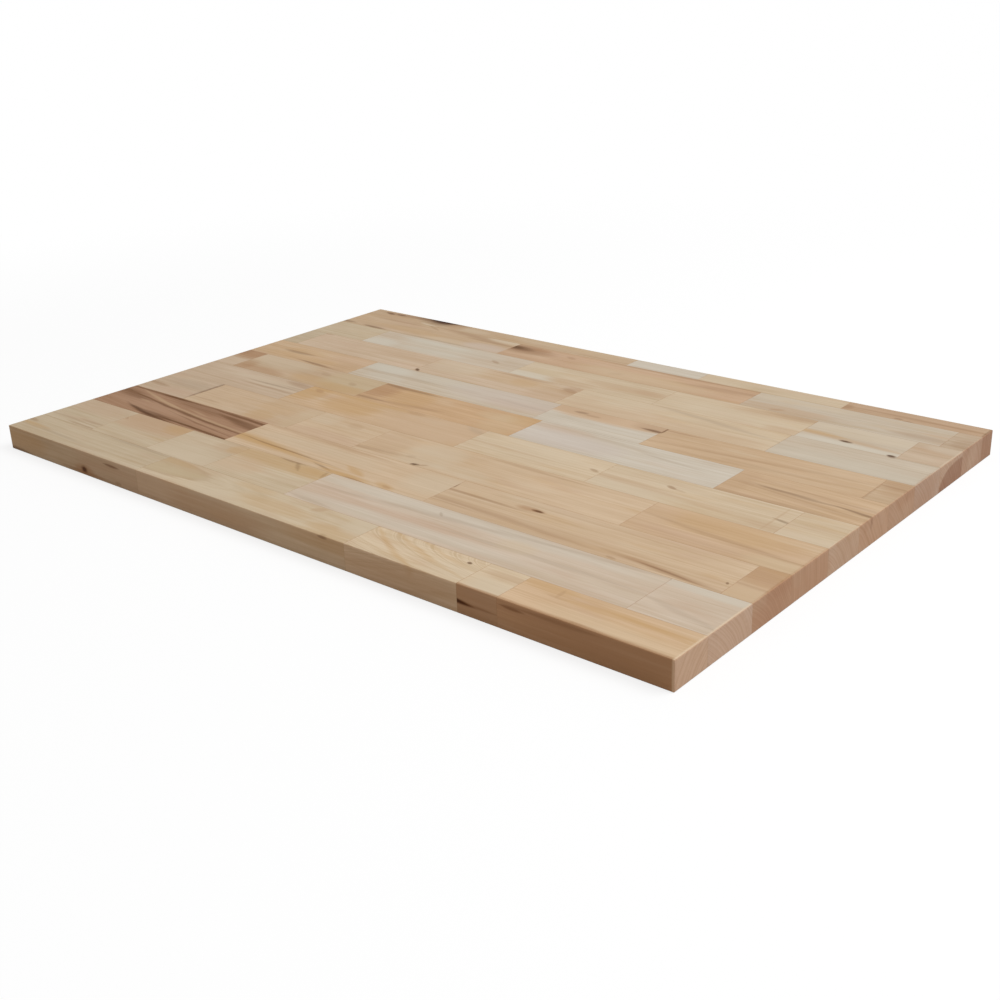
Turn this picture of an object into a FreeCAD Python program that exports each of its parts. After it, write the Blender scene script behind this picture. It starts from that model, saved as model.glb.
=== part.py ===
"""Kitchen worktop: a solid-wood panel glued up from staves, lying flat on its underside.

The panel is eleven rows of staves. Each row runs the full length of the panel and is made of
staves butted end to end, with the end joints staggered from row to row. Every stave has the full
thickness of the panel. After gluing, the outside edges of the whole panel are eased to a small
radius, so only the staves along its rim carry a piece of that rounding.

Frame, in millimetres: X runs along the length, Y from the front edge to the back edge, Z up from
the underside. The origin is the middle of the underside.
"""

import FreeCAD
import Part
import os

PANEL_LENGTH = 900.0
PANEL_WIDTH = 600.0
PANEL_THICKNESS = 28.0
EDGE_RADIUS = 1.0

# The cutting list, row by row from the back edge to the front edge. The stave lengths run from
# the left end to the right end. The longest stave of each row, written None, has no length of
# its own: it is cut to what the others leave of the panel's length. The widths add up to the
# panel's width.
ROW_WIDTHS = (27.0, 50.0, 54.5, 57.5, 55.0, 59.0, 58.0, 64.0, 63.0, 66.0, 46.0)
STAVE_LENGTHS = (
    (None, 103.0, 185.0, 160.0),
    (285.0, None, 234.0, 25.0),
    (95.0, None, 210.0, 180.0, 114.0, 46.0),
    (30.0, 213.0, 223.0, None, 162.0),
    (184.0, None, 143.0, 251.0, 28.0),
    (36.0, 220.0, 237.0, None, 152.0),
    (189.0, None, 171.0, 209.0, 54.0),
    (92.0, 180.0, 106.0, None, 175.0),
    (246.0, 295.0, None, 30.0),
    (93.0, 101.0, 97.0, 126.0, None, 76.0),
    (240.0, None, 135.0, 44.0, 172.0),
)


def width_name(row):
    """The name of a row's width, with rows counted from 1 at the back edge."""
    return f"row{row:02d}_width"


def stave_name(row, number):
    """The name of a stave, counted from 1 at the left end of its row."""
    return f"row{row:02d}_stave{number}"


def driving_dimensions():
    """Every size that can be set by itself, by name."""
    sizes = {
        "panel_length": PANEL_LENGTH,
        "panel_width": PANEL_WIDTH,
        "panel_thickness": PANEL_THICKNESS,
        "edge_radius": EDGE_RADIUS,
    }
    for row, width in enumerate(ROW_WIDTHS, start=1):
        sizes[width_name(row)] = width
    for row, lengths in enumerate(STAVE_LENGTHS, start=1):
        for number, length in enumerate(lengths, start=1):
            if length is not None:
                sizes[f"{stave_name(row, number)}_length"] = length
    return sizes


def fill_sheet(doc):
    """Write the driving dimensions into a spreadsheet, one name and value to a line."""
    sheet = doc.addObject("Spreadsheet::Sheet", "sizes")
    for line, (alias, value) in enumerate(driving_dimensions().items(), start=1):
        sheet.set(f"A{line}", alias)
        sheet.set(f"B{line}", str(value))
        sheet.setAlias(f"B{line}", alias)
    doc.recompute()


def row_width(row):
    """How wide a row is. The rows fill the panel: each takes an equal share of any difference
    between the panel's width and the sum of the listed widths."""
    listed = [f"sizes.{width_name(other)}" for other in range(1, len(ROW_WIDTHS) + 1)]
    share = f"(sizes.panel_width - ({' + '.join(listed)})) / {len(listed)}"
    return f"sizes.{width_name(row)} + {share}"


def stave_lengths(row):
    """How long each stave of a row is. The one with no listed length takes what is left."""
    lengths = [
        length and f"sizes.{stave_name(row, number)}_length"
        for number, length in enumerate(STAVE_LENGTHS[row - 1], start=1)
    ]
    rest = " - ".join(["sizes.panel_length", *filter(None, lengths)])
    return [length or rest for length in lengths]


def eased_panel(doc):
    """The outside form of the finished panel: a slab with every edge rounded."""
    body = doc.addObject("PartDesign::Body", "eased_panel")
    slab = body.newObject("PartDesign::AdditiveBox", "slab")
    slab.setExpression("Length", "sizes.panel_length")
    slab.setExpression("Width", "sizes.panel_width")
    slab.setExpression("Height", "sizes.panel_thickness")
    slab.setExpression("Placement.Base.x", "-sizes.panel_length / 2")
    slab.setExpression("Placement.Base.y", "-sizes.panel_width / 2")
    doc.recompute()
    rounding = body.newObject("PartDesign::Fillet", "rounding")
    rounding.Base = (slab, ["Edge1"])
    rounding.UseAllEdges = True
    rounding.setExpression("Radius", "sizes.edge_radius")
    doc.recompute()
    return body


def sawn_blank(doc, name, length, width, left, behind):
    """A stave before the edges are eased. It starts where the stave on its left ends, and its
    back face lies against the row behind. The first ones start at the slab's back left corner."""
    blank = doc.addObject("Part::Box", f"{name}_blank")
    blank.setExpression("Length", length)
    blank.setExpression("Width", width)
    blank.setExpression("Height", "sizes.panel_thickness")
    starts_at = f"{left.Name}.Placement.Base.x + {left.Name}.Length" if left else "slab.Placement.Base.x"
    back_face = f"{behind.Name}.Placement.Base.y" if behind else "slab.Placement.Base.y + slab.Width"
    blank.setExpression("Placement.Base.x", starts_at)
    blank.setExpression("Placement.Base.y", f"{back_face} - Width")
    return blank


def stave(doc, name, blank, envelope):
    """The finished stave: its blank, trimmed to the eased outside form of the panel."""
    trimmed = doc.addObject("Part::Common", name)
    trimmed.Label = name
    trimmed.Base = envelope
    trimmed.Tool = blank
    return trimmed


def build_panel(doc):
    """All staves of the panel, row by row from the back edge."""
    fill_sheet(doc)
    envelope = eased_panel(doc)
    staves = []
    behind = None
    for row in range(1, len(ROW_WIDTHS) + 1):
        left = None
        for number, length in enumerate(stave_lengths(row), start=1):
            name = stave_name(row, number)
            left = sawn_blank(doc, name, length, row_width(row), left, behind)
            staves.append(stave(doc, name, left, envelope))
        behind = left
    doc.recompute()
    return staves


def check(doc, staves):
    """Stop if any object failed to build or any stave is not one sound solid."""
    for item in doc.Objects:
        if "Invalid" in item.State or "Error" in item.State:
            raise RuntimeError(f"{item.Name} did not build: {item.State}")
    for item in staves:
        shape = item.Shape
        if shape.isNull() or not shape.isValid() or len(shape.Solids) != 1:
            raise RuntimeError(f"{item.Label} is not one valid solid")


def main():
    doc = FreeCAD.newDocument("kitchen_worktop")
    staves = build_panel(doc)
    check(doc, staves)
    os.makedirs("parts", exist_ok=True)
    for item in staves:
        item.Shape.exportStep(os.path.join("parts", f"{item.Label}.step"))
    volume = sum(item.Shape.Volume for item in staves)
    print(f"{len(staves)} staves, {volume / 1e6:.3f} litres of wood")


main()
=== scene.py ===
# %% [markdown]
# # A worktop glued up from staves
#
# The real thing is a slab of pale hardwood. Short lengths of wood, the staves, are butted end to
# end in rows, and the rows are glued side by side. Nothing else belongs to it, so this lesson has
# one kind of piece and one finish, made fifty-four times with different wood each time.
#
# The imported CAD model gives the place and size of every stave. Looks are added around it here.

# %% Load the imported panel
import math

import bpy
import numpy as np
from mathutils import Matrix, Vector


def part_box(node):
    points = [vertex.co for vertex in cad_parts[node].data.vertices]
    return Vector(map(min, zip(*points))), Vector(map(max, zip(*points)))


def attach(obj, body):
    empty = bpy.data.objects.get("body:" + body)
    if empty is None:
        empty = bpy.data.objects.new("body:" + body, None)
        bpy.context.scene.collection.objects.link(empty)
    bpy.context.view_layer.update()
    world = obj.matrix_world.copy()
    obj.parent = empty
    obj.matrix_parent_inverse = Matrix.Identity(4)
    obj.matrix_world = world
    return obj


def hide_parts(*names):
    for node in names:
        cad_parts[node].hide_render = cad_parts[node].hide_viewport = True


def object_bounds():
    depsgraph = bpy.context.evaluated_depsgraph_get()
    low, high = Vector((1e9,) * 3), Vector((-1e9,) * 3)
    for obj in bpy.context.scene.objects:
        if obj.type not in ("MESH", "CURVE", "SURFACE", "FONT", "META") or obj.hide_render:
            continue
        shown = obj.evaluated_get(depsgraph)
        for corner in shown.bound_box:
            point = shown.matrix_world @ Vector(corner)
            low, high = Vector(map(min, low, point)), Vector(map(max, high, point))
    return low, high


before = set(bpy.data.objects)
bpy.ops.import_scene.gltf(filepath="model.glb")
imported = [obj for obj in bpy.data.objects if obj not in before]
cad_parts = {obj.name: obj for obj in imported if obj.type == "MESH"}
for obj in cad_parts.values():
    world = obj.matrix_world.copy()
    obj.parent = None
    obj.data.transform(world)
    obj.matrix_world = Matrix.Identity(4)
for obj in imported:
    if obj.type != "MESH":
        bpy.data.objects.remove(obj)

MM = 0.001
cad_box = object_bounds()
panel_low, panel_high = (np.array(corner) / MM for corner in cad_box)
PANEL_LENGTH, PANEL_WIDTH, PANEL_THICKNESS = (panel_high - panel_low).tolist()
print(f"panel {PANEL_LENGTH:.1f} x {PANEL_WIDTH:.1f} x {PANEL_THICKNESS:.1f} mm")

# %% [markdown]
# ## Where each stave lies
#
# A stave at the rim of the panel has eased outside edges, and one inside has only sharp, glued
# edges. The box of a CAD node against the box of the panel tells which of its sides are rim.

# %% Measure the staves
TOUCH = 0.01


def stave_box(node):
    """Lowest and highest corner of a stave in millimetres."""
    low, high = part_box(node)
    return np.array(low) / MM, np.array(high) / MM


def rim_sides(low, high):
    """For each axis, whether the low and the high side of a box lie on the outside of the panel."""
    return np.stack([abs(low - panel_low) < TOUCH, abs(high - panel_high) < TOUCH], axis=1)


nodes = sorted(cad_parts)
at_rim = [node for node in nodes if rim_sides(*stave_box(node))[:2].any()]
print(f"{len(nodes)} staves, {len(at_rim)} of them at the rim")

# %% [markdown]
# ## The surface of a stave
#
# A stave is a block with two kinds of edges. Its rim edges are sanded to a radius of a
# millimetre. Its glued edges are nearly sharp: where two staves meet, sanding leaves a hair-fine
# valley that catches the light, and that is how a joint between two staves of one colour shows.
#
# A cube with a Bevel modifier would round every edge alike. So the surface is worked out from a
# lattice instead: lines are laid close together near each edge, and one formula bends the outer
# layer of the lattice into the round edge.

# %% Lay the lattice lines
EDGE_RADIUS = 1.0
ROUNDING_STEPS = 4
SHARP_FROM = math.radians(30)
INNER_LINE = 1.6 * EDGE_RADIUS
JOINT_BEVEL = 0.15
LATTICE_PITCH = 40.0


def lines_near(is_rim):
    """Distances of the lattice lines from one side of the stave, from the side inwards.

    At the rim the distance is the radius less the radius times the tangent of an angle that goes
    in even steps from 45 degrees to nothing, so that the rounding gets equal facets. At a joint
    three lines frame the bevel. One more line inside keeps the flat face flat when it is smoothed.
    """
    if is_rim:
        angles = np.linspace(math.pi / 4, 0, ROUNDING_STEPS + 1)
        return np.append(EDGE_RADIUS * (1 - np.tan(angles)), INNER_LINE)
    return JOINT_BEVEL * np.array([0, 0.5, 1, 2])


def lattice_lines(low, high, low_is_rim, high_is_rim):
    """All lattice lines along one axis, with evenly spaced ones between the two edges."""
    first = low + lines_near(low_is_rim)
    last = high - lines_near(high_is_rim)
    count = max(2, round((high - low) / LATTICE_PITCH) + 1)
    between = np.linspace(first[-1], last[-1], count)
    return np.concatenate([first[:-1], between, last[-2::-1]])


print("rim lines", lines_near(True).round(3), "joint lines", lines_near(False))

# %% [markdown]
# The lattice is a block of points. Only its outside layer becomes the mesh, so the six sheets of
# faces share their border points and the stave is one closed surface.

# %% Bend the lattice into a stave
def block_shell(xs, ys, zs):
    """The outside points of a lattice and the four-cornered faces between them, facing out."""
    points = np.stack(np.meshgrid(xs, ys, zs, indexing="ij"), axis=-1)
    outside = np.zeros(points.shape[:3], bool)
    for axis in range(3):
        layers = np.moveaxis(outside, axis, 0)
        layers[0] = layers[-1] = True
    number = np.full(outside.shape, -1)
    number[outside] = np.arange(outside.sum())

    def quads(sheet):
        corners = sheet[:-1, :-1], sheet[1:, :-1], sheet[1:, 1:], sheet[:-1, 1:]
        return np.stack(corners, axis=-1).reshape(-1, 4)

    facing_plus = number[-1], number[:, -1].T, number[:, :, -1]
    facing_minus = number[0], number[:, 0].T, number[:, :, 0]
    faces = [quads(sheet) for sheet in facing_plus]
    faces += [quads(sheet)[:, ::-1] for sheet in facing_minus]
    return points[outside], np.concatenate(faces)


def rounded(points, low, high, rim):
    """Round the rim edges of a block.

    The core is the block less the radius on each rim side. What a point sticks out of the core by
    is a vector. That vector is multiplied by its largest part over its length, which turns the
    square corner of the lattice into a quarter circle and leaves the flat faces where they are.
    """
    shrink = EDGE_RADIUS * rim
    core = np.clip(points, low + shrink[:, 0], high - shrink[:, 1])
    out = points - core
    length = np.linalg.norm(out, axis=1, keepdims=True)
    share = np.abs(out).max(axis=1, keepdims=True) / np.maximum(length, 1e-9)
    return core + out * share


def bevelled_at_joints(points, low, high, rim):
    """Lower the top, and raise the underside, by what a point is nearer to a joint than the bevel."""
    from_low = np.where(rim[:2, 0], JOINT_BEVEL, points[:, :2] - low[:2])
    from_high = np.where(rim[:2, 1], JOINT_BEVEL, high[:2] - points[:, :2])
    nearest = np.minimum(from_low, from_high).min(axis=1)
    drop = np.clip(JOINT_BEVEL - nearest, 0, None)
    bent = points.copy()
    bent[:, 2] = np.clip(points[:, 2], low[2] + drop, high[2] - drop)
    return bent


def placed(name, data):
    """A new object in the scene that holds a mesh, a lamp or a camera."""
    holder = bpy.data.objects.new(name, data)
    bpy.context.scene.collection.objects.link(holder)
    return holder


def stave_mesh(name, low, high):
    """The closed surface of one stave as a mesh in metres."""
    rim = rim_sides(low, high)
    lines = [lattice_lines(low[axis], high[axis], *rim[axis]) for axis in range(3)]
    points, faces = block_shell(*lines)
    points = rounded(points, low, high, rim)
    points = bevelled_at_joints(points, low, high, rim)
    mesh = bpy.data.meshes.new(name)
    mesh.from_pydata((points * MM).tolist(), [], faces.tolist())
    mesh.shade_smooth()
    mesh.set_sharp_from_angle(angle=SHARP_FROM)
    return mesh


trial = stave_mesh("trial", *stave_box(nodes[0]))
print(f"{nodes[0]}: {len(trial.vertices)} points, {len(trial.polygons)} faces")
bpy.data.meshes.remove(trial)

# %% [markdown]
# ## Writing a material as arithmetic
#
# The finish is a long sum: rings plus fibres plus clouds of colour. Drawn as nodes it is a wall
# of boxes. Here a small class holds one socket, and Python's own operators add the Math nodes, so
# the sum is written as a sum. Every other node comes from one method.

# %% The class that writes nodes
def operator(operation, swapped=False):
    """A method that adds one Math node, if need be with its two values swapped."""

    def method(self, *others):
        values = (self, *others)
        return self.math(operation, *(values[::-1] if swapped else values))

    return method


class Wire:
    """One value inside a material. Operators on it add Math nodes; node() adds any other."""

    __add__ = __radd__ = operator("ADD")
    __sub__ = operator("SUBTRACT")
    __rsub__ = operator("SUBTRACT", swapped=True)
    __mul__ = __rmul__ = operator("MULTIPLY")
    __truediv__ = operator("DIVIDE")
    __pow__ = operator("POWER")
    __abs__ = operator("ABSOLUTE")
    smaller = operator("MINIMUM")
    larger = operator("MAXIMUM")

    def __init__(self, tree, socket=None):
        self.tree = tree
        self.socket = socket

    def node(self, kind, settings=None, inputs=None):
        """A new node: its settings are set first, then each input gets its value or its link."""
        made = self.tree.nodes.new(f"ShaderNode{kind}")
        for name, value in (settings or {}).items():
            setattr(made, name, value)
        for name, value in (inputs or {}).items():
            if isinstance(value, Wire):
                self.tree.links.new(value.socket, made.inputs[name])
            else:
                made.inputs[name].default_value = value
        return Wire(self.tree, made.outputs[0] if made.outputs else None)

    def out(self, name):
        """Another output of the node that this value comes from."""
        return Wire(self.tree, self.socket.node.outputs[name])

    def math(self, operation, *values):
        return self.node("Math", {"operation": operation}, dict(enumerate(values)))

    def parts(self):
        """The three parts of a vector."""
        split = self.node("SeparateXYZ", inputs={"Vector": self})
        return [split.out(axis) for axis in "XYZ"]

    def joined(self, y, z):
        """A vector of this value and two others."""
        return self.node("CombineXYZ", inputs={"X": self, "Y": y, "Z": z})

    def ramp(self, start, end):
        """A soft step from 0 to 1 while the value goes from start to end."""
        inputs = {"Value": self, "From Min": start, "From Max": end}
        return self.node("MapRange", {"interpolation_type": "SMOOTHSTEP"}, inputs)

    def between(self, first, second, blend="MIX"):
        """A colour that goes from the first to the second while this value goes from 0 to 1."""
        settings = {"data_type": "RGBA", "blend_type": blend}
        return self.node("Mix", settings, {"Factor": self, 6: first, 7: second}).out(2)

    def mixed(self, colour, amount, blend="MIX"):
        """This colour mixed with another one, or multiplied by it, by an amount from 0 to 1."""
        return amount.between(self, colour, blend)


def emptied(holder):
    """A wire in the node tree of a new material or world, which is cleared first."""
    holder.use_nodes = True
    holder.node_tree.nodes.clear()
    return Wire(holder.node_tree)


SHEEN = 0.012


def linear(red, green, blue):
    """A wood colour written as the eye sees it, from 0 to 255, as the shader's linear values.

    The room lays a thin white sheen over the wood, so that much is taken off first.
    """
    share = np.array([red, green, blue]) / 255
    value = np.where(share <= 0.04045, share / 12.92, ((share + 0.055) / 1.055) ** 2.4)
    return (*np.clip(value - SHEEN, 0.002, None).tolist(), 1.0)


print("a middle grey of 128 is", round(linear(128, 128, 128)[0], 3), "in the shader")

# %% [markdown]
# ## Where the pattern is
#
# A log is a solid, so its pattern is read from the point's place in space, not painted on a
# face. Then a ring that runs along the top also turns down the end grain, as in the real thing.
# The Mapping node turns metres from the middle of the underside into a workshop's measures:
# millimetres from the left end, from the back edge, and up from the underside.

# %% Workshop measures and stretched noise
def workshop_point(wire):
    """The shaded point as millimetres from the left end, from the back edge and from below."""
    inputs = {
        "Vector": wire.node("TexCoord").out("Object"),
        "Scale": (1 / MM, -1 / MM, 1 / MM),
        "Location": (PANEL_LENGTH / 2, PANEL_WIDTH / 2, 0),
    }
    return wire.node("Mapping", inputs=inputs)


def workshop_box(node):
    """Lowest and highest corner of a stave in the workshop's measures, and its rim sides."""
    low, high = stave_box(node)
    rim = rim_sides(low, high)
    rim[1] = rim[1, ::-1]
    start = low[0] + PANEL_LENGTH / 2, PANEL_WIDTH / 2 - high[1], low[2]
    stop = high[0] + PANEL_LENGTH / 2, PANEL_WIDTH / 2 - low[1], high[2]
    return np.array(start), np.array(stop), rim


def fibrous(point, along, across, shift, detail=2.0):
    """Noise about 0, from -0.5 to 0.5, whose blobs are as long and as wide as given, in mm."""
    inputs = {"Vector": point, "Scale": (1 / along, 1 / across, 1 / across), "Location": shift}
    stretched = point.node("Mapping", inputs=inputs)
    return point.node("TexNoise", inputs={"Vector": stretched, "Scale": 1.0, "Detail": detail}) - 0.5


print("first stave from", workshop_box(nodes[0])[0], "to", workshop_box(nodes[0])[1])

# %% [markdown]
# ## Growth rings
#
# Rings are nested cones around the pith, the middle of the tree. How a stave was sawn decides
# where its pith lies: under a plain-sawn stave, so that the rings draw pointed arches along the
# top, and far to one side of a quarter-sawn one, so that they draw straight lines. Even stripes
# look like corduroy. Real rings are wide and narrow by turns, so the pattern is noise that only
# changes with the distance from the pith.

# %% The ways of sawing a stave
CUTS = {
    "quarter": dict(across=190.0, below=20.0, tilt=0.0, drift=0.0, ring=3.6),
    "rift": dict(across=75.0, below=70.0, tilt=0.01, drift=0.0, ring=4.2),
    "plain": dict(across=6.0, below=55.0, tilt=0.06, drift=0.0, ring=4.4),
}


def growth(point, middle, sway, grain, shift):
    """Bands of growth, about 0.5 and from 0 to 1.

    The pith runs along the stave, a given way across from its middle and below its top. It drifts
    sideways and tilts down by so much a millimetre. The distance from it is the root of the two
    squared offsets, and noise in one dimension turns that distance into bands.
    """
    x, y, z = point.parts()
    along = x - middle[0]
    side = y - (middle[1] + grain["across"]) - along * grain["drift"] + sway
    depth = (PANEL_THICKNESS - z) - grain["below"] - along * grain["tilt"]
    distance = (side * side + depth * depth) ** 0.5
    inputs = {"W": distance / grain["ring"] + shift, "Scale": 1.0, "Detail": 2.0, "Roughness": 0.6}
    return point.node("TexNoise", {"noise_dimensions": "1D"}, inputs)


print(len(CUTS), "ways of sawing:", ", ".join(CUTS))

# %% [markdown]
# ## Marks
#
# Pale patches, brown streaks, knots and flecks make one stave differ from the next. A streak has
# two tips and a width, and swells between them like a blade of grass. A patch fills a length and
# a width of the stave. Both have an edge that the fibres break up, and both fade with depth, so
# the underside has a face of its own. A knot is three flecks on one spot.

# %% Describe a mark
MARK_COLOURS = dict(
    bark=(60, 38, 22), resin=(100, 60, 28), umber=(95, 64, 41), brown=(150, 117, 89),
    russet=(164, 125, 92), tan=(182, 152, 122), orange=(188, 151, 103), rose=(190, 160, 136),
    cream=(200, 180, 150), pale=(203, 187, 163), blond=(218, 196, 168), lilac=(195, 181, 172),
    white=(202, 196, 182), grey=(168, 150, 130), straw=(192, 174, 142), biscuit=(197, 170, 142),
    bone=(194, 178, 158), clay=(189, 159, 131),
)
FADES_WITHIN = {"top": 10.0, "front": 3.0, "end": 2.0}
FLECK_DEPTH = 3.0


def streak(colour, start, end, wide, strength=0.5, bend=0.0, soft=0.8, ragged=1.2, on="top", deep=None):
    """A lens from one tip to the other, in mm; bend is how far its middle stands off the line."""
    (x1, y1), (x2, y2) = start, end
    return dict(
        colour=colour, x=(x1 + x2) / 2, y=(y1 + y2) / 2, long=math.dist(start, end), wide=wide,
        turn=math.atan2(y2 - y1, x2 - x1), strength=strength, bend=bend, soft=soft, ragged=ragged,
        face=on, deep=deep or FADES_WITHIN[on], powers=(2, 1),
    )


def patch(colour, x, y, strength=0.3, soft=1.0, ragged=1.6, on="top"):
    """A soft-edged area between two lengths and two widths, in mm."""
    middle = sum(y) / 2
    mark = streak(colour, (x[0], middle), (x[1], middle), y[1] - y[0], strength, 0.0, soft, ragged, on)
    return {**mark, "powers": (2.5, 2.5)}


def fleck(colour, x, y, long, wide, strength=0.6, turn=0.0, soft=0.8, on="top"):
    """A short dark mark that the fibres hardly break up, turned by so many degrees."""
    tips = (x - long / 2, y), (x + long / 2, y)
    mark = streak(colour, *tips, wide, strength, 0.0, soft, 0.4, on, FLECK_DEPTH)
    return {**mark, "turn": math.radians(turn), "powers": (2, 2)}


print(len(MARK_COLOURS), "mark colours")

# %% [markdown]
# The shape of a mark is one sum. With u along the mark and v across it, both 1 at its rim, a
# streak is where u squared plus v is under 1, and a fleck, which is an ellipse, where their squares
# add up to less than 1. A patch has powers of two and a half, which squares its corners a little.

# %% Shade a mark
def seen_face(point, face):
    """The point as a length along a face, a width across it, and a depth under it."""
    x, y, z = point.parts()
    if face == "front":
        return x.joined(PANEL_THICKNESS - z, PANEL_WIDTH - y)
    if face == "end":
        return y.joined(PANEL_THICKNESS - z, PANEL_LENGTH - x)
    return x.joined(y, PANEL_THICKNESS - z)


def mark_cover(point, fibres, mark):
    """How much a mark covers the wood, from 0 to its strength.

    The sum of the powers of u and v is moved up and down by the fibres, and a soft step around 1
    makes it a cover. Bend lowers the line of the streak by its own size times 1 less u squared.
    """
    half_wide = mark["wide"] / 2
    inputs = {
        "Vector": seen_face(point, mark["face"]),
        "Location": (mark["x"], mark["y"], 0),
        "Rotation": (0, 0, mark["turn"]),
        "Scale": (mark["long"] / 2, half_wide, 1),
    }
    u, v, depth = point.node("Mapping", {"vector_type": "TEXTURE"}, inputs).parts()
    if mark["bend"]:
        v = v - (1 - u * u) * (mark["bend"] / half_wide)
    reach = abs(u) ** mark["powers"][0] + abs(v) ** mark["powers"][1] + fibres * mark["ragged"]
    cover = reach.ramp(1 + mark["soft"], 1 - mark["soft"])
    return cover * depth.ramp(1.5 * mark["deep"], 0.5 * mark["deep"]) * mark["strength"]


print("a streak is cut off at a depth of about", streak("bark", (0, 0), (1, 0), 1)["deep"], "mm")

# %% [markdown]
# ## The wood
#
# The worktop is oiled hardwood: no gloss coat, low contrast, and a tone that changes from stave
# to stave far more than within one. So a stave starts from a tone chosen by name. Growth bands,
# coarse fibres, fine fibres and slow clouds then move it a little between a deeper and a paler
# version, and wide smears of orange, rose and pale wood lie over it. The long sides are made
# browner than the top. The open end grain drinks more oil than the sanded top, which brings all
# ends near to one brown. The single years, too thin to see along the grain, are clear where they
# are cut across. The rounded edges are painted a shade darker, painted shade that tones down the
# light they catch, and a hair of darkness stays in the glue lines. The turn of the normal tells a
# side, an end or an edge.

# %% Tones by name
TONES = dict(
    ash=(199, 188, 172), bone=(195, 180, 160), milk=(200, 182, 162), cream=(200, 180, 153),
    biscuit=(200, 175, 146), straw=(190, 172, 146), rose=(192, 170, 146), peach=(198, 170, 139),
    clay=(191, 161, 133), tan=(189, 164, 136), honey=(195, 163, 129), brown=(184, 156, 129),
    heartwood=(154, 122, 98),
)
SWING = np.array([0.13, 0.17, 0.23])
SIDE_TINT = (1.05, 0.90, 0.80, 1.0)
END_GRAIN = linear(206, 158, 134)
END_SHARE = 0.42
END_RINGS = (0.88, 0.83, 0.79, 1.0)
YEARS_IN_BAND = 2.2
# painted shade: the rounded edges are darkened against the light they catch
EDGE_PAINTED_SHADE = (0.93, 0.92, 0.90, 1.0)
GLUE_LINE = (0.88, 0.85, 0.81, 1.0)
GLUE_WIDTH = 0.5
GLOSS = 0.03
FIGURE = dict(growth=0.9, lines=0.35, coarse=0.9, fine=0.6, cloud=0.8, orange=0.25, rose=0.3, pale=0.25)
BLOBS = dict(
    sway=(170, 45), coarse=(120, 3), fine=(24, 0.6), cloud=(110, 26), smear=(80, 15), waver=(40, 9),
)
SWAY = 8.0
WAVER = 4.0
LATE_WOOD = (0.54, 0.70)
FACING = (0.35, 0.8)
OFF_FACE = (0.97, 0.8)
YEAR = (0.4, 0.6)


def tone_pair(tone, shade):
    """A deeper and a paler version of a tone, as shader colours."""
    middle = np.array(linear(*TONES[tone])[:3]) * shade
    return [(*(middle * (1 + side * SWING)).tolist(), 1.0) for side in (-1, 1)]


def near_joint(point, start, stop, rim):
    """1 on the glued sides of a stave and 0 from the width of a glue line inwards."""
    parts = point.parts()
    gaps = [parts[a] - start[a] for a in (0, 1) if not rim[a, 0]]
    gaps += [stop[a] - parts[a] for a in (0, 1) if not rim[a, 1]]
    nearest = gaps[0]
    for gap in gaps[1:]:
        nearest = nearest.smaller(gap)
    return nearest.ramp(GLUE_WIDTH, 0.1 * GLUE_WIDTH)


def stave_wood(node, tone, shade=1.0, cut="rift", marks=(), **changes):
    """The material of one stave. Changes are new values for numbers of its cut and its figure."""
    start, stop, rim = workshop_box(node)
    grain = {**CUTS[cut], **FIGURE, **changes}
    draw = np.random.default_rng([ord(letter) for letter in node])
    shift = tuple(draw.uniform(0, 500, 3).tolist())
    material = bpy.data.materials.new(node)
    wire = emptied(material)
    point = workshop_point(wire)

    sway = fibrous(point, *BLOBS["sway"], shift) * SWAY
    coarse = fibrous(point, *BLOBS["coarse"], shift, detail=3.0)
    fine = fibrous(point, *BLOBS["fine"], shift)
    cloud = fibrous(point, *BLOBS["cloud"], shift)
    bands = growth(point, (start + stop) / 2, sway, grain, shift[0])
    lines = bands.ramp(*LATE_WOOD)
    value = (
        0.5 + (bands - 0.5) * grain["growth"] - lines * grain["lines"]
        + coarse * grain["coarse"] + fine * grain["fine"] + cloud * grain["cloud"]
    )

    deeper, paler = tone_pair(tone, shade)
    colour = value.between(deeper, paler)
    for turned, smear in enumerate(("orange", "rose", "pale")):
        place = np.roll(shift, turned + 1).tolist()
        cover = fibrous(point, *BLOBS["smear"], place).ramp(0.0, 0.3) * grain[smear]
        colour = colour.mixed(linear(*MARK_COLOURS[smear]), cover)
    x, y, z = point.parts()
    wavering = x.joined(y + fibrous(point, *BLOBS["waver"], shift) * WAVER, z)
    for mark in marks:
        colour = colour.mixed(linear(*MARK_COLOURS[mark["colour"]]), mark_cover(wavering, coarse, mark))

    across, sideways, upward = [abs(part) for part in wire.node("NewGeometry").out("Normal").parts()]
    # the long sides are made browner and a little darker than the top
    colour = colour.mixed(SIDE_TINT, sideways.ramp(*FACING), "MULTIPLY")
    ends = across.ramp(*FACING)
    colour = colour.mixed(END_GRAIN, ends * END_SHARE)
    single_years = {**grain, "ring": grain["ring"] / YEARS_IN_BAND}
    years = growth(point, (start + stop) / 2, sway, single_years, shift[1])
    rings = years.ramp(*YEAR) * 0.6 + bands.ramp(*YEAR) * 0.3
    colour = colour.mixed(END_RINGS, ends * (rings + coarse + fine), "MULTIPLY")
    # painted shade on the rounded edges, which tones down the light they catch
    colour = colour.mixed(EDGE_PAINTED_SHADE, across.larger(sideways).larger(upward).ramp(*OFF_FACE), "MULTIPLY")
    colour = colour.mixed(GLUE_LINE, near_joint(point, start, stop, rim), "MULTIPLY")

    roughness = 0.62 - fine * 0.25 + lines * 0.08
    height = fine * 0.02 - lines * 0.01
    inputs = {
        "Base Color": colour,
        "Roughness": roughness,
        "Normal": wire.node("Bump", inputs={"Height": height, "Distance": MM, "Strength": 0.5}),
        "Specular IOR Level": GLOSS,
    }
    wire.node("OutputMaterial", inputs={"Surface": wire.node("BsdfPrincipled", inputs=inputs)})
    return material


print(len(TONES), "tones:", ", ".join(TONES))
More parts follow.
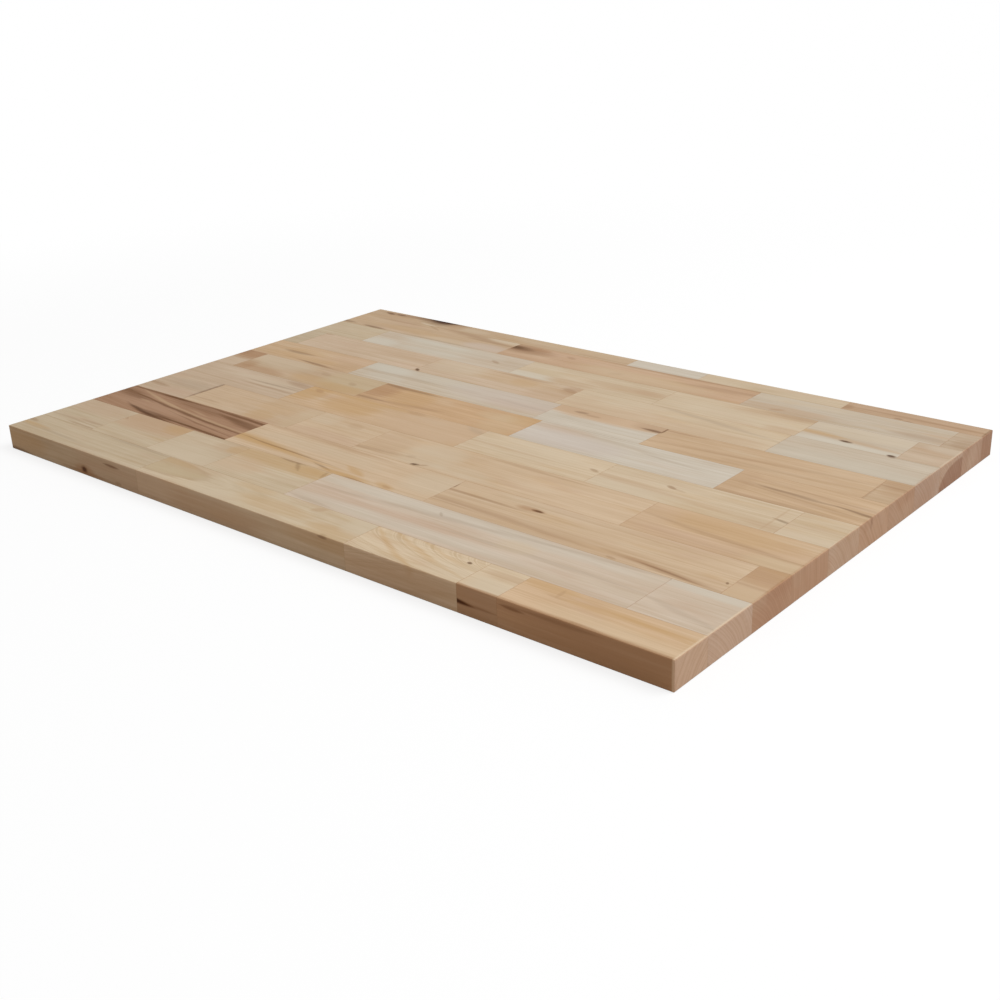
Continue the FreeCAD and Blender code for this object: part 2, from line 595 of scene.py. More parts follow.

# %% [markdown]
# ## Fitting a stave
#
# Each stave is made at its place, given its wood and tied to the panel's body. It is named after
# the CAD node it stands for, and that node is hidden.

# %% One call per stave
laid = {}


def lay(row, tone, **wood):
    """Make the next stave of a row. Rows count from the back edge, staves from the left end."""
    staves = laid.setdefault(row, [])
    node = f"row{row:02d}_stave{len(staves) + 1}"
    piece = placed(f"{node}_wood", stave_mesh(node, *stave_box(node)))
    piece.data.materials.append(stave_wood(node, tone, **wood))
    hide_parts(node)
    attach(piece, "root")
    staves.append(piece)


def row_done(row):
    """Print how many staves a row has and how many nodes their finish took."""
    count = sum(len(piece.data.materials[0].node_tree.nodes) for piece in laid[row])
    print(f"row {row}: {len(laid[row])} staves, {count} shader nodes")


# %% [markdown]
# ## Rows 1 to 3, at the back
#
# Every row is written down from left to right, as it would be laid out on the bench. Row 1 has
# a pocket of bark on its back edge. Row 2 is brown, with the dark smear of a knot. Row 3 is one
# of the palest.

# %% Row 1
lay(1, "tan", marks=[
    patch("cream", (240, 440), (0, 14), 0.3),
    patch("pale", (165, 218), (7, 23), 0.35),
    patch("tan", (5, 110), (14, 27), 0.4),
    streak("brown", (14, 9), (118, 7), 10, 0.6),
    fleck("umber", 31, 10, 18, 7, 0.55, turn=15),
    fleck("umber", 51, 8, 16, 6, 0.5),
    streak("umber", (80, 2), (170, 2), 28, 0.6, deep=12),
    streak("bark", (102, 1), (152, 1), 18, 0.95, ragged=0.8, deep=8),
    patch("tan", (146, 174), (5, 22), 0.6),
    streak("pale", (102, 20), (144, 32), 8, 0.7, bend=1),
    fleck("brown", 144, 35, 8, 5, 0.25, turn=40),
])
lay(1, "ash", orange=0, rose=0.1)
lay(1, "cream", shade=0.95, marks=[
    patch("pale", (555, 620), (0, 27), 0.25),
    patch("pale", (660, 740), (8, 27), 0.3),
])
lay(1, "brown", shade=0.98, cut="quarter", ring=5, lines=0.5, orange=0, marks=[
    fleck("brown", 742, 17, 16, 14, 0.4),
    streak("brown", (744, 15), (905, 17), 5, 0.35),
    fleck("umber", 806, 23, 10, 4, 0.3),
    fleck("umber", 818, 26, 12, 3, 0.25),
    patch("umber", (-12, 32), (-8, 40), 0.42, soft=0.6, on="end"),
])
row_done(1)

# %% Row 2
lay(2, "tan", shade=1.03, rose=0.5, marks=[
    patch("brown", (25, 115), (29, 37), 0.25),
    patch("orange", (60, 170), (50, 66), 0.2),
    streak("brown", (118, 24), (150, 39), 5, 0.3),
    streak("brown", (140, 22), (300, 47), 13, 0.45, soft=1, bend=1),
    patch("pale", (236, 298), (18, 37), 0.7),
    patch("pale", (160, 285), (60, 78), 0.35),
    patch("lilac", (222, 292), (52, 80), 0.45),
    streak("umber", (-20, 71), (24, 71), 6, 0.5),
    streak("umber", (38, 71.5), (84, 75), 6, 0.55, bend=1),
    streak("grey", (70, 74), (262, 76), 4, 0.5),
])
lay(2, "clay", marks=[
    patch("rose", (330, 420), (28, 52), 0.3),
    fleck("brown", 296, 43, 100, 28, 0.65, turn=2, soft=1),
    fleck("umber", 288, 41, 54, 15, 0.55, turn=3, soft=1),
    fleck("bark", 286, 41, 26, 9, 0.35, soft=1),
    fleck("russet", 326, 35, 30, 11, 0.4, soft=1),
    fleck("brown", 378, 41, 15, 7, 0.3, turn=15),
    fleck("brown", 462, 63, 20, 9, 0.2, turn=-20),
    patch("cream", (410, 590), (46, 78), 0.45),
    streak("brown", (430, 28), (670, 28), 7, 0.45),
    streak("brown", (540, 50), (672, 38), 12, 0.35, soft=1),
])
lay(2, "bone", shade=0.93, marks=[
    patch("pale", (636, 760), (26, 44), 0.35),
    patch("tan", (636, 745), (56, 78), 0.5),
    fleck("russet", 685, 70, 18, 7, 0.3, turn=-20),
    fleck("brown", 850, 63, 66, 13, 0.35, soft=1),
])
lay(2, "rose", shade=0.87, orange=0.1, marks=[
    patch("brown", (882, 910), (46, 74), 0.3),
    patch("pale", (42, 62), (2, 26), 0.5, on="end"),
])
row_done(2)

# %% Row 3
lay(3, "straw", shade=1.04, orange=0.1)
lay(3, "bone", orange=0, rose=0.15, marks=[
    patch("white", (90, 146), (105, 136), 0.55),
    patch("rose", (96, 150), (80, 104), 0.15),
    streak("white", (125, 86), (250, 88), 12, 0.5),
    streak("white", (150, 118), (270, 116), 18, 0.4),
    patch("white", (140, 240), (86, 106), 0.3),
    patch("rose", (255, 352), (78, 128), 0.15),
    fleck("brown", 308, 106, 17, 6, 0.4, turn=24),
    patch("white", (226, 310), (82, 106), 0.3),
])
lay(3, "cream", shade=0.97, marks=[
    patch("white", (335, 412), (114, 137), 0.55),
    patch("pale", (345, 402), (78, 96), 0.45),
    patch("straw", (366, 410), (94, 114), 0.3),
    patch("tan", (404, 470), (112, 130), 0.45),
    patch("tan", (450, 566), (94, 112), 0.4),
    patch("tan", (520, 562), (96, 109), 0.35),
])
lay(3, "cream", shade=0.98, marks=[
    patch("pale", (560, 730), (92, 126), 0.4),
    streak("tan", (640, 90), (760, 80), 20, 0.5),
    streak("brown", (680, 82), (760, 82), 10, 0.25),
    patch("tan", (702, 744), (115, 132), 0.4),
])
lay(3, "bone", shade=0.97, orange=0, rose=0.1, marks=[
    patch("pale", (736, 862), (76, 104), 0.35),
    streak("orange", (718, 108), (790, 110), 9, 0.6),
    streak("tan", (740, 111), (866, 119), 8, 0.5),
    patch("white", (730, 862), (119, 136), 0.5),
    fleck("umber", 792, 117.5, 15, 4.5, 0.7, turn=5),
    fleck("bark", 791, 117, 8, 3, 0.5),
    fleck("umber", 848, 129.5, 10, 5.5, 0.75, turn=5),
    fleck("bark", 847, 129.5, 6, 3, 0.6),
])
lay(3, "rose", shade=0.94, orange=0, marks=[
    patch("bone", (866, 908), (76, 95), 0.5),
    streak("tan", (840, 92), (916, 104), 10, 0.3),
    patch("pale", (70, 136), (-8, 20), 0.5, on="end"),
    patch("resin", (41, 133), (5, 73), 0.62, soft=0.1, ragged=0.2, on="end"),
])
row_done(3)

# %% [markdown]
# ## Rows 4 to 6, towards the middle
#
# Row 5 has a nearly white stave beside one whose back half is brown and dotted. In row 6 a
# honey stave meets a grey one, which is the sharpest change of colour in the panel.

# %% Row 4
lay(4, "straw", shade=0.98, rose=0.4)
lay(4, "rose", shade=1.06, orange=0.1, marks=[
    patch("tan", (135, 258), (130, 164), 0.25),
    fleck("brown", 36, 134, 14, 6, 0.3),
])
lay(4, "rose", shade=1.05, marks=[
    patch("pale", (243, 330), (132, 172), 0.4),
    patch("orange", (325, 435), (132, 166), 0.25),
    patch("orange", (375, 410), (140, 164), 0.25),
    streak("brown", (335, 136), (425, 136), 6, 0.35),
    patch("russet", (446, 490), (122, 160), 0.3),
    fleck("brown", 456, 145, 24, 10, 0.35, turn=20),
    patch("tan", (415, 480), (146, 196), 0.4),
    fleck("umber", 247.5, 184.5, 12, 5, 0.7, turn=38),
    fleck("bark", 248, 185, 6, 3, 0.4, turn=38),
])
lay(4, "cream", marks=[
    patch("pale", (470, 620), (132, 156), 0.35),
    patch("clay", (466, 740), (162, 196), 0.35),
    streak("grey", (555, 129), (750, 160), 7, 0.35, bend=-1),
])
lay(4, "bone", shade=0.95, orange=0, rose=0.2, marks=[
    patch("white", (730, 920), (160, 198), 0.3),
    fleck("umber", 849, 132, 9, 5, 0.4, turn=10),
    patch("russet", (142, 204), (-10, 40), 0.3, on="end"),
])
row_done(4)

# %% Row 5
lay(5, "peach", orange=0.15, marks=[
    patch("orange", (30, 145), (219, 238), 0.25),
    streak("umber", (38, 217.5), (94, 216), 8, 0.4),
    streak("umber", (90, 237.5), (152, 241.5), 5, 0.45),
    streak("brown", (60, 235), (186, 243), 6, 0.3),
    patch("rose", (120, 190), (190, 216), 0.3),
    patch("tan", (146, 188), (216, 238), 0.4),
    patch("orange", (40, 110), (200, 216), 0.3),
])
lay(5, "bone", orange=0, rose=0.15, marks=[
    patch("white", (176, 256), (190, 215), 0.65),
    patch("white", (260, 360), (190, 214), 0.3),
    patch("white", (205, 262), (220, 238), 0.3),
    streak("grey", (170, 218), (320, 216), 8, 0.35),
    patch("rose", (395, 494), (208, 238), 0.3),
    streak("grey", (396, 213), (490, 220), 6, 0.35),
    patch("lilac", (330, 494), (190, 232), 0.4),
])
lay(5, "ash", orange=0, rose=0, marks=[
    patch("biscuit", (455, 645), (176, 213), 1.0, soft=0.5, ragged=0.8),
    patch("tan", (470, 560), (184, 207), 0.35),
    fleck("umber", 513, 198, 18, 6, 0.35, turn=-5),
    fleck("brown", 530, 201, 22, 5, 0.3),
    patch("brown", (584, 640), (187, 209), 0.25),
    streak("umber", (596, 202), (630, 203.5), 5.5, 0.65, soft=0.8),
])
lay(5, "peach", shade=0.95, drift=-0.09, ring=6, lines=0.4, orange=0.1, marks=[
    fleck("umber", 621, 195, 18, 5, 0.65, turn=85),
    streak("brown", (610, 193), (675, 192), 5, 0.4),
    streak("brown", (600, 231), (810, 213), 8, 0.15, bend=-2),
    streak("brown", (700, 222), (890, 206), 6, 0.15, bend=-2),
    streak("brown", (620, 241), (860, 227), 6, 0.12, bend=-2),
])
lay(5, "tan", marks=[
    patch("russet", (872, 924), (186, 211), 0.3),
    streak("brown", (866, 203), (912, 206), 4, 0.35),
    patch("russet", (880, 926), (207, 230), 0.2),
    streak("brown", (873, 256), (873, 200), 2.5, 0.3),
])
row_done(5)

# %% Row 6
lay(6, "rose", shade=1.03, marks=[
    patch("russet", (-20, 54), (232, 272), 0.75),
    patch("umber", (-14, 12), (242, 262), 0.15),
])
lay(6, "tan", coarse=0.7, cloud=1.1, orange=0.4, marks=[
    patch("pale", (20, 136), (238, 278), 0.45),
    patch("russet", (24, 60), (272, 314), 0.4),
    patch("orange", (130, 200), (274, 300), 0.3),
    patch("straw", (176, 270), (240, 298), 0.5),
    fleck("brown", 166, 262, 20, 9, 0.2, turn=20),
    fleck("brown", 222, 272, 15, 8, 0.25, turn=20),
    patch("orange", (185, 262), (280, 304), 0.45),
    patch("russet", (44, 122), (287, 306), 0.45),
])
lay(6, "honey", shade=1.02, marks=[
    patch("russet", (236, 292), (244, 290), 0.55),
    patch("orange", (290, 350), (246, 300), 0.3),
    streak("umber", (234, 247), (350, 249), 6, 0.4),
    streak("umber", (234, 297), (302, 296), 6, 0.35),
    streak("brown", (270, 299), (384, 287), 7, 0.3),
    patch("orange", (455, 510), (240, 270), 0.35),
    patch("cream", (440, 490), (250, 304), 0.25),
    patch("cream", (420, 470), (252, 272), 0.3),
])
lay(6, "ash", orange=0, rose=0.15, marks=[
    patch("rose", (484, 570), (245, 264), 0.35),
    streak("grey", (545, 254), (650, 258), 6, 0.25),
    streak("grey", (632, 262), (720, 270), 4, 0.35, bend=1.5),
    streak("grey", (520, 297), (600, 292), 4, 0.2),
    patch("lilac", (486, 620), (258, 300), 0.45),
])
lay(6, "peach", shade=0.97, drift=0.09, ring=4.6, lines=0.5, marks=[
    patch("tan", (738, 772), (236, 310), 0.35),
    streak("brown", (740, 267), (920, 294), 9, 0.25, bend=1),
    streak("umber", (772, 268), (872, 276), 5, 0.4, bend=1),
    streak("umber", (858, 274), (920, 282), 4, 0.5),
    streak("brown", (725, 302), (880, 300), 6, 0.4),
    streak("brown", (770, 258), (910, 268), 4, 0.2),
])
row_done(6)

# %% [markdown]
# ## Rows 7 and 8
#
# These two are the calm ones: pink and cream wood, a few flecks, and brown lines where the
# late wood is close together.

# %% Row 7
lay(7, "rose", orange=0, lines=0.2, marks=[
    patch("pale", (70, 170), (314, 326), 0.4),
    streak("grey", (96, 328), (200, 328), 3.5, 0.8, ragged=0.7),
    streak("pale", (96, 333), (200, 333), 4, 0.5, ragged=0.7),
    streak("brown", (96, 338), (204, 339), 4, 0.45, ragged=0.7),
    streak("grey", (150, 322), (200, 322), 3, 0.4),
    fleck("brown", 172, 311, 44, 12, 0.4, turn=5, soft=1),
])
lay(7, "peach", orange=0.3, marks=[
    patch("orange", (176, 226), (296, 346), 0.55),
    fleck("russet", 208, 312, 16, 8, 0.4, turn=20),
    patch("orange", (240, 320), (308, 354), 0.5),
    streak("orange", (200, 306), (390, 308), 12, 0.5),
    fleck("russet", 362, 307, 26, 8, 0.35),
    patch("biscuit", (340, 500), (300, 364), 0.6),
    streak("grey", (435, 303), (474, 318), 10, 0.3),
])
lay(7, "cream", shade=1.04, rose=0.15, marks=[
    patch("pale", (480, 600), (306, 346), 0.3),
    streak("tan", (450, 333), (580, 334), 5, 0.3),
    fleck("brown", 628, 331, 12, 4.5, 0.5, turn=15),
])
lay(7, "cream", marks=[
    streak("tan", (600, 332), (780, 345), 10, 0.45),
    streak("tan", (760, 346), (880, 354), 10, 0.4),
    streak("tan", (700, 350), (830, 361), 5, 0.35),
    patch("pale", (624, 740), (340, 368), 0.45),
    fleck("brown", 715, 324, 12, 4.5, 0.6, turn=15),
    fleck("brown", 725, 326, 18, 4, 0.2, turn=12),
    streak("umber", (829, 330), (851, 336.5), 4, 0.4),
    streak("tan", (832, 296), (832, 366), 2.5, 0.4),
    patch("cream", (715, 810), (340, 364), 0.35),
])
lay(7, "cream", marks=[patch("pale", (830, 920), (347, 368), 0.45)])
row_done(7)

# %% Row 8
lay(8, "rose", shade=0.98, orange=0.1, rose=0.4, marks=[
    patch("grey", (20, 90), (372, 396), 0.3),
    streak("brown", (-10, 401), (40, 405), 8, 0.45),
    patch("rose", (30, 96), (402, 425), 0.4),
    patch("umber", (88, 93), (352, 416), 0.45),
])
lay(8, "tan", shade=1.06, marks=[
    patch("umber", (88, 93), (352, 416), 0.45),
    patch("orange", (190, 246), (362, 400), 0.2),
    patch("orange", (196, 234), (398, 425), 0.3),
    patch("cream", (250, 300), (360, 425), 0.35),
    streak("brown", (92, 409), (140, 410), 4, 0.3),
])
lay(8, "biscuit", orange=0.1, rose=0.2, marks=[
    patch("pale", (268, 308), (362, 392), 0.35),
    fleck("tan", 335, 376, 24, 14, 0.35, turn=15),
    patch("rose", (272, 378), (404, 430), 0.35),
])
lay(8, "biscuit", cut="quarter", ring=5, lines=0.35, rose=0.4, marks=[
    patch("tan", (372, 430), (362, 412), 0.3),
    streak("brown", (320, 424), (462, 409), 6, 0.3, bend=-1),
    fleck("brown", 450, 408, 12, 6, 0.3, turn=-10),
    patch("pale", (436, 500), (364, 425), 0.4),
    streak("brown", (520, 364), (640, 366), 5, 0.25),
    fleck("umber", 468, 422.5, 11, 5, 0.65, turn=-10),
    fleck("bark", 467, 422.5, 6, 3, 0.4),
    fleck("brown", 477, 420, 11, 4, 0.4, turn=-30),
    patch("pale", (484, 556), (400, 422), 0.35),
])
lay(8, "peach", cut="quarter", ring=5, lines=0.35, marks=[
    patch("orange", (744, 880), (362, 400), 0.3),
    patch("biscuit", (700, 760), (362, 425), 0.4),
    streak("brown", (730, 387), (925, 406), 7, 0.32, bend=2),
    streak("tan", (730, 412), (900, 418), 5, 0.3),
    patch("rose", (736, 850), (402, 425), 0.3),
    patch("cream", (850, 912), (406, 425), 0.4),
    patch("russet", (352, 436), (-10, 40), 0.3, on="end"),
])
row_done(8)

# %% [markdown]
# ## Row 9, with the stave of heartwood
#
# One stave comes from the dark heart of a tree. Its growth lines run askew, from the back left
# to the front right, so the pith drifts across it. Next to it lies sapwood with streaks of orange.

# %% Row 9
HEARTWOOD = dict(drift=0.09, ring=4, growth=1.3, lines=0.7, orange=0, rose=0.1, pale=0)
lay(9, "heartwood", shade=1.14, **HEARTWOOD, marks=[
    patch("rose", (10, 150), (450, 480), 0.15),
    streak("umber", (-30, 427), (150, 428), 4.5, 0.6),
    fleck("umber", 86, 428, 50, 5, 0.5),
    streak("umber", (150, 427), (268, 433), 5, 0.7),
    streak("umber", (80, 431), (215, 440), 12, 0.35, soft=1),
    streak("umber", (170, 435), (276, 446), 8, 0.5),
    streak("umber", (186, 440), (278, 454), 8, 0.5),
    streak("umber", (-30, 437), (64, 452), 17, 0.5, soft=1),
    streak("tan", (24, 429), (130, 453), 4.2, 0.85, bend=1.5),
    streak("tan", (44, 437), (122, 453), 2.6, 0.65, bend=1),
    streak("tan", (94, 447), (268, 463), 4, 0.75, bend=3),
    streak("umber", (12, 440), (270, 468), 4, 0.65, bend=4),
    streak("tan", (130, 445), (176, 451), 2.8, 0.5),
    fleck("tan", 59, 454, 22, 3, 0.5, turn=5),
    streak("tan", (90, 458), (256, 473), 2.8, 0.35, bend=2),
    streak("umber", (110, 461), (262, 479), 2.6, 0.35, bend=2),
    streak("umber", (50, 472), (150, 489), 7, 0.45, bend=3),
    streak("bark", (52, 471.5), (144, 487), 5, 0.5, bend=3, soft=0.7),
    streak("bark", (84, 478), (150, 485), 8, 0.3, bend=-1),
    streak("umber", (90, 477), (200, 485), 8, 0.4, bend=-1),
    streak("umber", (110, 480), (300, 490), 4, 0.75, soft=0.6),
])
lay(9, "biscuit", rose=0.15, orange=0.1, marks=[
    patch("pale", (262, 440), (436, 458), 0.3),
    streak("tan", (245, 426), (460, 432), 7, 0.5),
    streak("tan", (330, 427), (420, 431), 5, 0.4),
    streak("orange", (190, 464), (350, 473), 16, 0.8),
    streak("orange", (290, 470), (424, 478), 9, 0.45, bend=1),
    streak("umber", (244, 465), (404, 474), 2.8, 0.4, ragged=0.6),
    streak("umber", (378, 478), (412, 485), 3, 0.45),
    streak("orange", (414, 464), (450, 478), 9, 0.55),
    streak("orange", (395, 484), (470, 487), 12, 0.75),
    streak("brown", (430, 486), (460, 487), 4, 0.5),
    fleck("orange", 484, 482, 26, 10, 0.5, turn=12, soft=1),
    fleck("russet", 487, 483, 12, 5, 0.3, turn=15),
    patch("pale", (486, 552), (428, 474), 0.45),
])
lay(9, "biscuit", cut="quarter", ring=6, lines=0.4, rose=0.4, marks=[
    fleck("umber", 539, 436, 18, 5, 0.6, turn=72),
    streak("brown", (510, 449), (640, 451), 5, 0.5),
    streak("tan", (520, 457), (640, 459), 4, 0.35),
    streak("brown", (500, 470), (730, 480), 7, 0.4, bend=-1),
    streak("brown", (530, 476), (600, 478), 3, 0.3),
    patch("tan", (541, 800), (464, 490), 0.35),
    fleck("russet", 638, 443, 30, 9, 0.55, soft=1),
    fleck("resin", 646, 443, 14, 4.5, 0.65),
    fleck("bark", 647, 443, 8, 3, 0.4),
    streak("tan", (620, 434), (840, 435), 3.5, 0.4),
    streak("brown", (750, 475), (890, 489), 7, 0.35, bend=-1),
    streak("russet", (768, 475), (856, 487), 8, 0.4, bend=-1),
    streak("umber", (784, 478), (844, 484), 3, 0.35, bend=-1),
    fleck("brown", 759, 485, 11, 4, 0.35, turn=10),
    fleck("umber", 865, 469, 4.5, 2.6, 0.55, turn=60),
    patch("pale", (600, 700), (426, 440), 0.2),
])
lay(9, "peach", marks=[
    patch("russet", (855, 920), (420, 460), 0.4),
    streak("brown", (855, 462), (920, 464), 4, 0.3),
    patch("clay", (850, 930), (462, 492), 0.4),
    patch("russet", (424, 492), (-10, 40), 0.55, on="end"),
    patch("cream", (864, 912), (466, 490), 0.35),
])
row_done(9)

# %% [markdown]
# ## Rows 10 and 11, at the front
#
# Row 10 has the longest stave that shows no joint, white with faint rose streaks. Row 11 makes
# the front edge. Two of its staves are plain-sawn close to the pith, and their rings rise to the
# surface in arches. The wood of the front face belongs to them too, so their marks go on there.

# %% Row 10
lay(10, "straw", shade=1.02, orange=0.1, marks=[
    patch("rose", (-10, 92), (486, 520), 0.4),
    streak("brown", (-20, 542), (108, 544), 4, 0.35, ragged=0.7),
    streak("brown", (48, 538), (104, 538), 4, 0.35, ragged=0.7),
    streak("brown", (44, 550), (106, 551), 4, 0.45, ragged=0.7),
    streak("pale", (50, 547), (106, 547.5), 3, 0.5, ragged=0.7),
])
lay(10, "straw", shade=1.04, marks=[
    patch("clay", (78, 214), (474, 524), 0.75),
    patch("tan", (86, 206), (480, 518), 0.35),
    patch("orange", (160, 200), (488, 510), 0.4),
    fleck("brown", 93, 505, 12, 4, 0.3, turn=25),
])
lay(10, "cream", shade=0.94, orange=0, rose=0.15, marks=[
    patch("pale", (190, 290), (514, 556), 0.5),
    patch("tan", (252, 300), (488, 512), 0.35),
    patch("orange", (272, 300), (490, 510), 0.4),
])
lay(10, "straw", shade=1.08, marks=[
    patch("orange", (262, 440), (480, 514), 0.5),
    patch("orange", (370, 430), (490, 512), 0.25),
    patch("biscuit", (280, 350), (508, 545), 0.5),
    streak("umber", (364, 487), (382, 504), 5, 0.28),
    streak("umber", (340, 489), (378, 489), 3, 0.35),
    fleck("umber", 413, 496, 16, 4, 0.2, turn=75),
])
lay(10, "milk", ring=7, orange=0, growth=0.8, lines=0.2, marks=[
    patch("white", (416, 800), (490, 508), 0.4),
    patch("rose", (412, 500), (512, 540), 0.35),
    streak("grey", (420, 518), (720, 494), 7, 0.35, bend=1),
    streak("grey", (640, 497), (830, 490), 5, 0.35),
    streak("rose", (490, 528), (650, 526), 15, 0.5),
    patch("white", (430, 690), (532, 550), 0.3),
    streak("grey", (590, 525), (830, 524), 5, 0.35, bend=-2),
    streak("grey", (410, 548), (480, 550), 5, 0.4),
    fleck("grey", 577, 501, 10, 3, 0.5, turn=40),
    patch("cream", (660, 700), (505, 526), 0.35),
])
lay(10, "milk", orange=0.1, marks=[
    patch("white", (818, 912), (486, 500), 0.5),
    streak("grey", (815, 524), (912, 546), 7, 0.3),
    patch("blond", (482, 566), (-10, 40), 0.65, on="end"),
])
row_done(10)

# %% Row 11
lay(11, "straw", shade=1.02, orange=0.1, marks=[
    fleck("brown", 3, 570, 26, 6, 0.4, turn=10),
    streak("orange", (-20, 577), (60, 582), 6, 0.45),
    streak("grey", (20, 580), (130, 588), 5, 0.35),
    streak("grey", (130, 556), (250, 556), 4, 0.4),
    patch("orange", (-20, 70), (2, 26), 0.3, on="front"),
    patch("rose", (150, 330), (-4, 34), 0.3, on="front"),
    streak("resin", (-30, 26), (40, 26), 4, 0.5, on="front"),
    streak("brown", (90, 24), (205, 25), 4, 0.35, on="front"),
    streak("russet", (118, 24), (180, 24), 6, 0.5, on="front"),
    fleck("russet", 144, 21.5, 32, 12, 0.4, on="front"),
    fleck("resin", 144, 21.5, 12, 8.4, 0.5, on="front"),
    fleck("bark", 144, 21.5, 7.2, 5.4, 0.65, on="front"),
    streak("resin", (182, 6), (210, 6.5), 2.8, 0.6, on="front"),
    fleck("brown", 205, 24, 11, 4, 0.35, on="front"),
])
ARCHES = dict(cut="plain", across=-4, below=27, tilt=0.08, ring=6, lines=0.3, growth=0.9)
lay(11, "straw", shade=1.12, **ARCHES, marks=[
    fleck("brown", 232, 573, 190, 38, 0.35, soft=0.15),
    fleck("straw", 229, 573, 184, 34, 0.6, soft=0.25),
    patch("tan", (222, 320), (550, 572), 0.3),
    patch("orange", (236, 290), (554, 566), 0.2),
    patch("pale", (318, 380), (556, 602), 0.3),
    patch("rose", (180, 330), (-4, 34), 0.3, on="front"),
    patch("orange", (356, 410), (554, 566), 0.25),
    patch("orange", (385, 480), (568, 590), 0.3),
    patch("orange", (490, 552), (578, 598), 0.35),
    fleck("tan", 475, 560, 16, 8, 0.5, turn=-30),
    patch("pale", (520, 556), (554, 584), 0.5),
    patch("pale", (345, 400), (584, 604), 0.3),
    patch("tan", (300, 440), (4, 28), 0.5, on="front"),
    patch("orange", (470, 600), (-4, 14), 0.3, on="front"),
    fleck("resin", 521, 1.5, 12, 3, 0.4, on="front"),
])
SWIRLS = dict(cut="plain", across=-24, below=32, tilt=-0.2, ring=2.2, lines=0.8, growth=1.6, fine=0.9)
lay(11, "cream", shade=1.1, **SWIRLS, marks=[
    streak("orange", (544, 550), (640, 604), 6, 0.4, bend=5),
    streak("orange", (562, 548), (694, 592), 6, 0.4, bend=6),
    streak("orange", (592, 548), (694, 576), 5, 0.3, bend=4),
    patch("pale", (640, 700), (570, 600), 0.35),
    fleck("umber", 668, 564, 5.5, 4, 0.75, turn=20),
    patch("tan", (545, 690), (2, 28), 0.4, on="front"),
])
lay(11, "cream", shade=1.09, orange=0.1, marks=[
    patch("tan", (690, 740), (560, 574), 0.4),
    patch("pale", (690, 736), (576, 604), 0.5),
    patch("russet", (640, 790), (-14, 44), 0.7, on="front"),
    streak("resin", (660, 14), (704, 17.6), 5, 0.7, soft=0.6, ragged=0.6, on="front"),
    streak("bark", (668, 14.5), (698, 17.3), 3.2, 0.7, soft=0.6, ragged=0.6, on="front"),
    streak("resin", (690, 16.5), (728, 17), 2.6, 0.3, on="front"),
])
lay(11, "peach", shade=1.08, across=-70, ring=6, lines=0.25, marks=[
    patch("orange", (724, 780), (552, 568), 0.4),
    fleck("brown", 767, 564, 14, 4, 0.2, turn=88),
    streak("brown", (756, 571), (780, 571), 3, 0.2),
    streak("orange", (760, 570), (910, 566), 8, 0.4),
    streak("orange", (780, 560), (910, 574), 6, 0.3),
    patch("cream", (770, 900), (580, 600), 0.3),
    patch("russet", (660, 980), (-16, 44), 0.65, on="front"),
    patch("brown", (760, 990), (-16, 26), 0.25, on="front"),
    streak("resin", (730, 5.5), (757, 6), 2.8, 0.55, on="front"),
    streak("resin", (750, 4), (830, 3), 4, 0.25, on="front"),
    patch("blond", (540, 620), (-10, 40), 0.7, on="end"),
])
row_done(11)
print(len(laid), "staves laid")

# %% [markdown]
# ## Floor
#
# The worktop lies on a plain pale floor. To the camera the floor is white, and near the panel it
# keeps a trace of the shadow. To the wood it is a middle grey, so that it does not light the
# rim too much from below. Light Path's ray outputs tell the two apart. It lies a tenth of a
# millimetre low, because two faces at one height would show through each other in patches.

# %% Floor
FLOOR_SIDE = 40.0
FLOOR_DROP = 0.1 * MM
FLOOR_SEEN = (0.97, 0.97, 0.97, 1.0)
FLOOR_LIT = (0.5, 0.5, 0.5, 1.0)
SHADOW_KEPT = 0.2
SHADOW_FADES = (0.7, 1.6)
WHITE = (1.0, 1.0, 1.0, 1.0)


def seen_by_camera(wire):
    """1 for what the camera sees, straight or in a reflection, and 0 for what lights the scene."""
    rays = wire.node("LightPath")
    mirrored = rays.out("Is Glossy Ray").larger(rays.out("Is Transmission Ray"))
    return rays.out("Is Camera Ray").larger(mirrored)


def floor_paint():
    """White light for the camera, with a share of the real shading left in near the panel."""
    material = bpy.data.materials.new("floor")
    wire = emptied(material)
    seen = seen_by_camera(wire)
    x, y, z = wire.node("TexCoord").out("Object").parts()
    far = ((x * x + y * y) ** 0.5).ramp(*SHADOW_FADES)
    paint = seen.between(FLOOR_LIT, FLOOR_SEEN)
    shaded = wire.node("BsdfDiffuse", inputs={"Color": paint})
    white = wire.node("Emission", inputs={"Color": WHITE, "Strength": 1.0})
    share = seen * (1 - (1 - far) * SHADOW_KEPT)
    both = wire.node("MixShader", inputs={"Fac": share, 1: shaded, 2: white})
    wire.node("OutputMaterial", inputs={"Surface": both})
    return material


half = FLOOR_SIDE / 2
corners = [(-half, -half), (half, -half), (half, half), (-half, half)]
floor_mesh = bpy.data.meshes.new("floor")
floor_mesh.from_pydata([(x, y, -FLOOR_DROP) for x, y in corners], [], [(0, 1, 2, 3)])
floor_mesh.materials.append(floor_paint())
floor = placed("floor", floor_mesh)
print(f"floor {FLOOR_SIDE:.0f} m square")

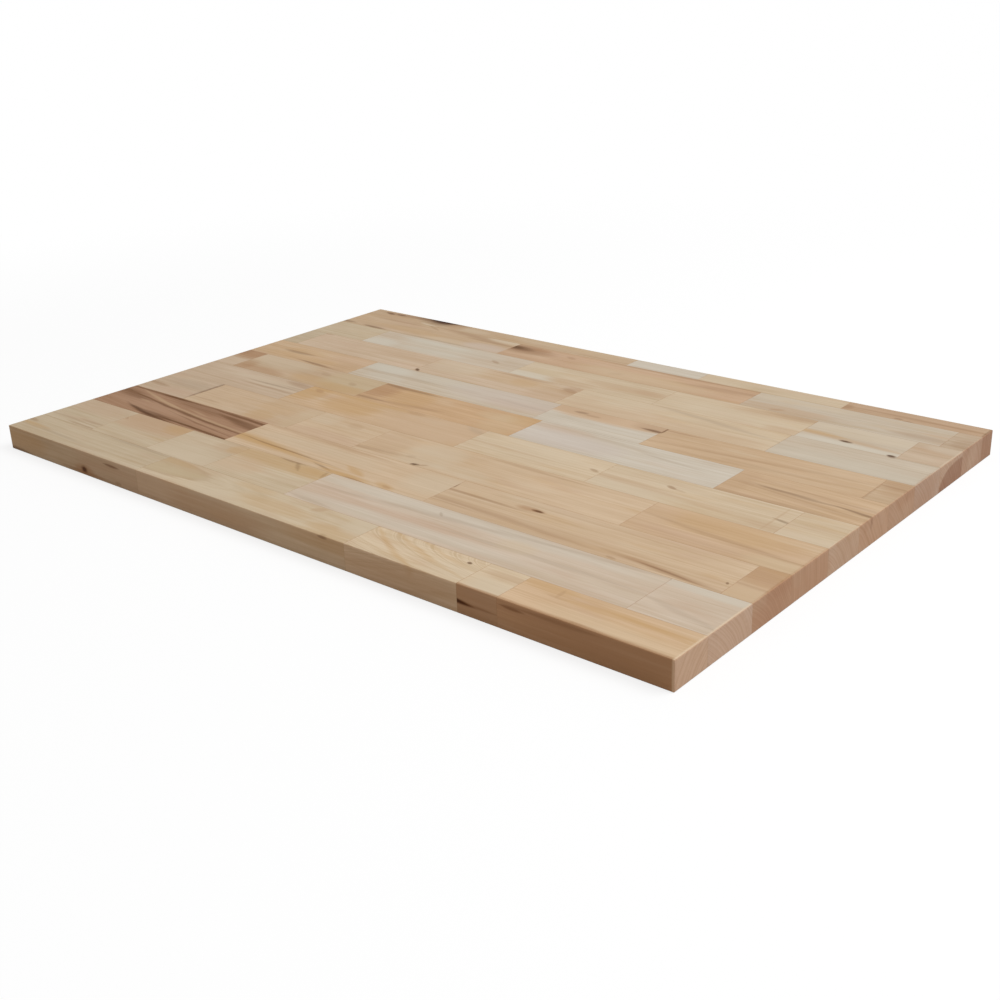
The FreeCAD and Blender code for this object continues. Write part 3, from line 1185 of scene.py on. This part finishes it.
# %% [markdown]
# ## Light
#
# A large soft lamp stands behind the right end of the panel, so that the top is the brightest
# face, the right end comes second and the long front edge lies in its own shade. The rest of
# the light comes evenly from all round, which is the world's.

# %% Lamp and world
WORLD_LEVEL = 0.48


def soft_lamp(name, place, target, side, power):
    """A square lamp of that side and power in watts at a place, aimed at a target, in metres."""
    lamp = bpy.data.lights.new(name, "AREA")
    lamp.shape = "SQUARE"
    lamp.size = side
    lamp.energy = power
    away = Vector(place) - Vector(target)
    turned = away.to_track_quat("Z", "Y").to_matrix().to_4x4()
    placed(name, lamp).matrix_world = Matrix.Translation(place) @ turned


soft_lamp("key", place=(2.05, 1.1, 3.9), target=(0, 0, 0), side=2.6, power=140)

world = bpy.data.worlds.new("studio")
bpy.context.scene.world = world
wire = emptied(world)
lighting = wire.node("Background", inputs={"Color": WHITE, "Strength": WORLD_LEVEL})
backdrop = wire.node("Background", inputs={"Color": WHITE, "Strength": 1.0})
both = wire.node("MixShader", inputs={"Fac": seen_by_camera(wire), 1: lighting, 2: backdrop})
wire.node("OutputWorld", inputs={"Surface": both})
print("world level", WORLD_LEVEL)

# %% [markdown]
# ## Camera
#
# The camera stands over the corner between the long front edge and the right end, and looks down
# at about a quarter of a right angle. Its place was worked out from the seven corners that show.

# %% Camera
LENS = 48.6
CAMERA_PLACE = (0.9249, -1.0351, 0.5268)
HEADING, LOOKS_DOWN, ROLL = (math.radians(angle) for angle in (40.99, 22.88, 2.21))

camera = bpy.data.cameras.new("camera")
camera.lens = LENS
camera.clip_start, camera.clip_end = 0.01, 100.0
camera_holder = placed("camera", camera)
turned = (
    Matrix.Rotation(HEADING, 4, "Z")
    @ Matrix.Rotation(math.pi / 2 - LOOKS_DOWN, 4, "X")
    @ Matrix.Rotation(-ROLL, 4, "Z")
)
camera_holder.matrix_world = Matrix.Translation(CAMERA_PLACE) @ turned
bpy.context.scene.camera = camera_holder
bpy.context.scene.view_settings.view_transform = "Standard"
print("camera at", CAMERA_PLACE)
